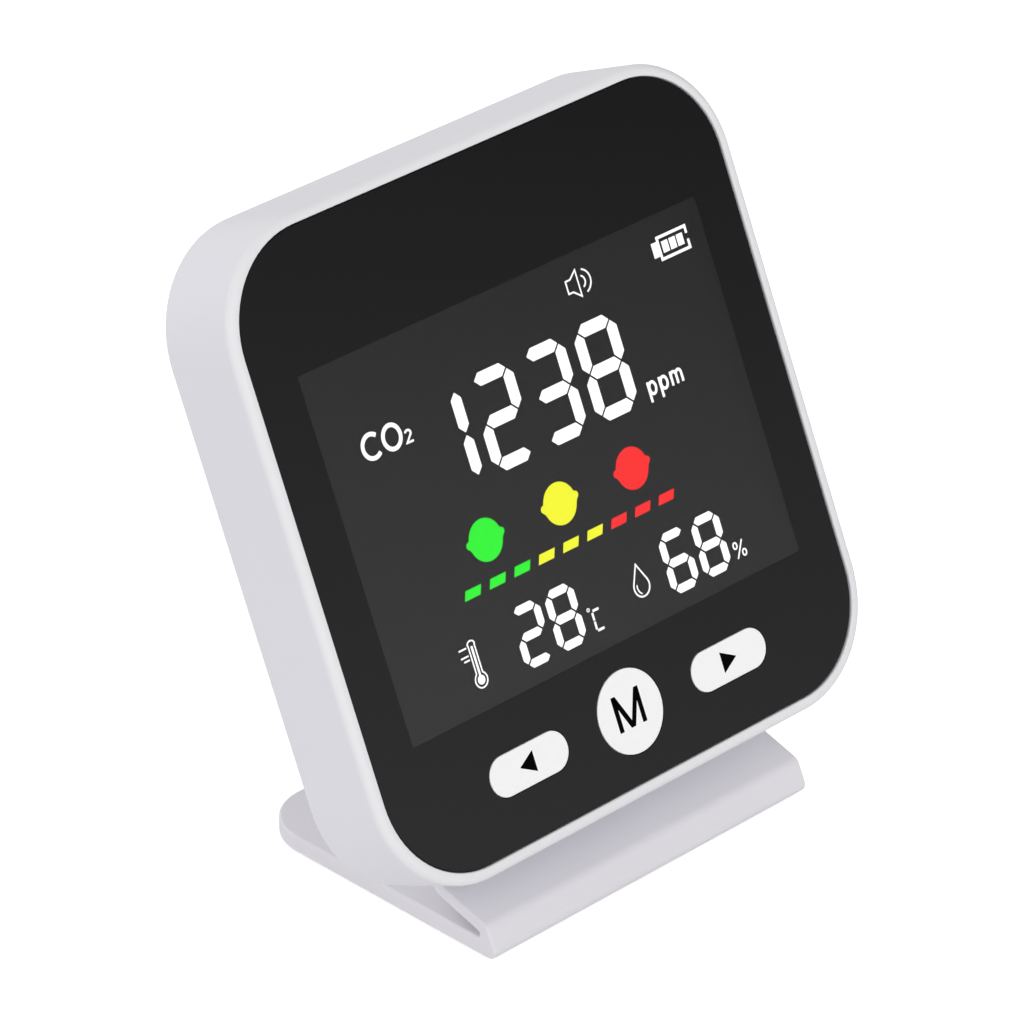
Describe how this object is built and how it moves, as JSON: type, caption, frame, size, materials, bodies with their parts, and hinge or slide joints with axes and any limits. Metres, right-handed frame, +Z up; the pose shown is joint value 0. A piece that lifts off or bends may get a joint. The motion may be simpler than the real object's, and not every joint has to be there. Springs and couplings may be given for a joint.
{
  "type": "carbon dioxide monitor",
  "caption": "Square flat desktop carbon dioxide monitor leaning on a bent slide-on stand, with a segment display behind a dark panel and push keys below it.",
  "frame": {"origin": "middle of the anti-slip pad's underside, on the surface that the stand rests on", "axes": "+X to the right across the display, +Y to the back, +Z up"},
  "size_m": [0.08, 0.0433, 0.0854],
  "materials": {
    "white_shell": "fine satin texture",
    "back_plastic": "fine satin texture",
    "stand_plastic": "fine satin texture",
    "panel": "smooth, printed black from behind with a clear window",
    "tape": "dull",
    "display_glass": "polished with polarising film",
    "chip": "dull moulded",
    "flex": "amber film",
    "connector": "moulded",
    "tray": "white moulded",
    "guide": "clear acrylic",
    "led": "phosphor in a white package",
    "key": "smooth white",
    "switch_metal": "stamped",
    "plunger": "moulded",
    "board": "solder mask",
    "ceramic": "ceramic and tin",
    "cell": "laminated foil",
    "pad": "foam",
    "nickel": "bright",
    "steel": "plated",
    "sensor_can": "drawn and plated",
    "membrane": "expanded film",
    "mesh": "woven",
    "grip": "dull silicone"
  },
  "bodies": {
    "stand": {"stand": "stand_plastic", "grip_pad": "grip"},
    "left_key": {"left_key": "key", "left_plunger": "plunger"},
    "mode_key": {"mode_key": "key", "mode_plunger": "plunger"},
    "right_key": {"right_key": "key", "right_plunger": "plunger"},
    "monitor": {"front_housing": "white_shell", "rear_cover": "back_plastic", "display_panel": "panel", "panel_tape": "tape", "lcd_front_glass": "display_glass", "lcd_rear_glass": "display_glass", "lcd_driver": "chip", "lcd_flex": "flex", "lcd_connector": "connector", "lcd_tray": "tray", "light_guide": "guide", "backlight_leds": "led", "led_strip": "flex", "left_switch": "switch_metal", "mode_switch": "switch_metal", "right_switch": "switch_metal", "main_board": "board", "microcontroller": "chip", "power_chip": "chip", "board_chips": "ceramic", "battery": "cell", "battery_pad": "pad", "battery_tabs": "nickel", "buzzer": "plunger", "usb_shell": "steel", "usb_insert": "plunger", "co2_sensor": "sensor_can", "sensor_membrane": "membrane", "sensor_board": "board", "sensor_headers": "plunger", "climate_sensor": "chip", "dust_filter": "mesh", "cover_screws": "steel"}
  },
  "joints": [
    {"name": "monitor_lift", "type": "slide", "parent": "stand", "child": "monitor", "axis": [0, 0.4067, 0.9135], "range_m": [0, 0.0325]},
    {"name": "left_press", "type": "slide", "parent": "monitor", "child": "left_key", "axis": [0, 0.9135, -0.4067], "range_m": [0, 0.0004], "stiffness_N_per_m": 500, "springref_m": -0.001},
    {"name": "mode_press", "type": "slide", "parent": "monitor", "child": "mode_key", "axis": [0, 0.9135, -0.4067], "range_m": [0, 0.0004], "stiffness_N_per_m": 500, "springref_m": -0.001},
    {"name": "right_press", "type": "slide", "parent": "monitor", "child": "right_key", "axis": [0, 0.9135, -0.4067], "range_m": [0, 0.0004], "stiffness_N_per_m": 500, "springref_m": -0.001}
  ]
}
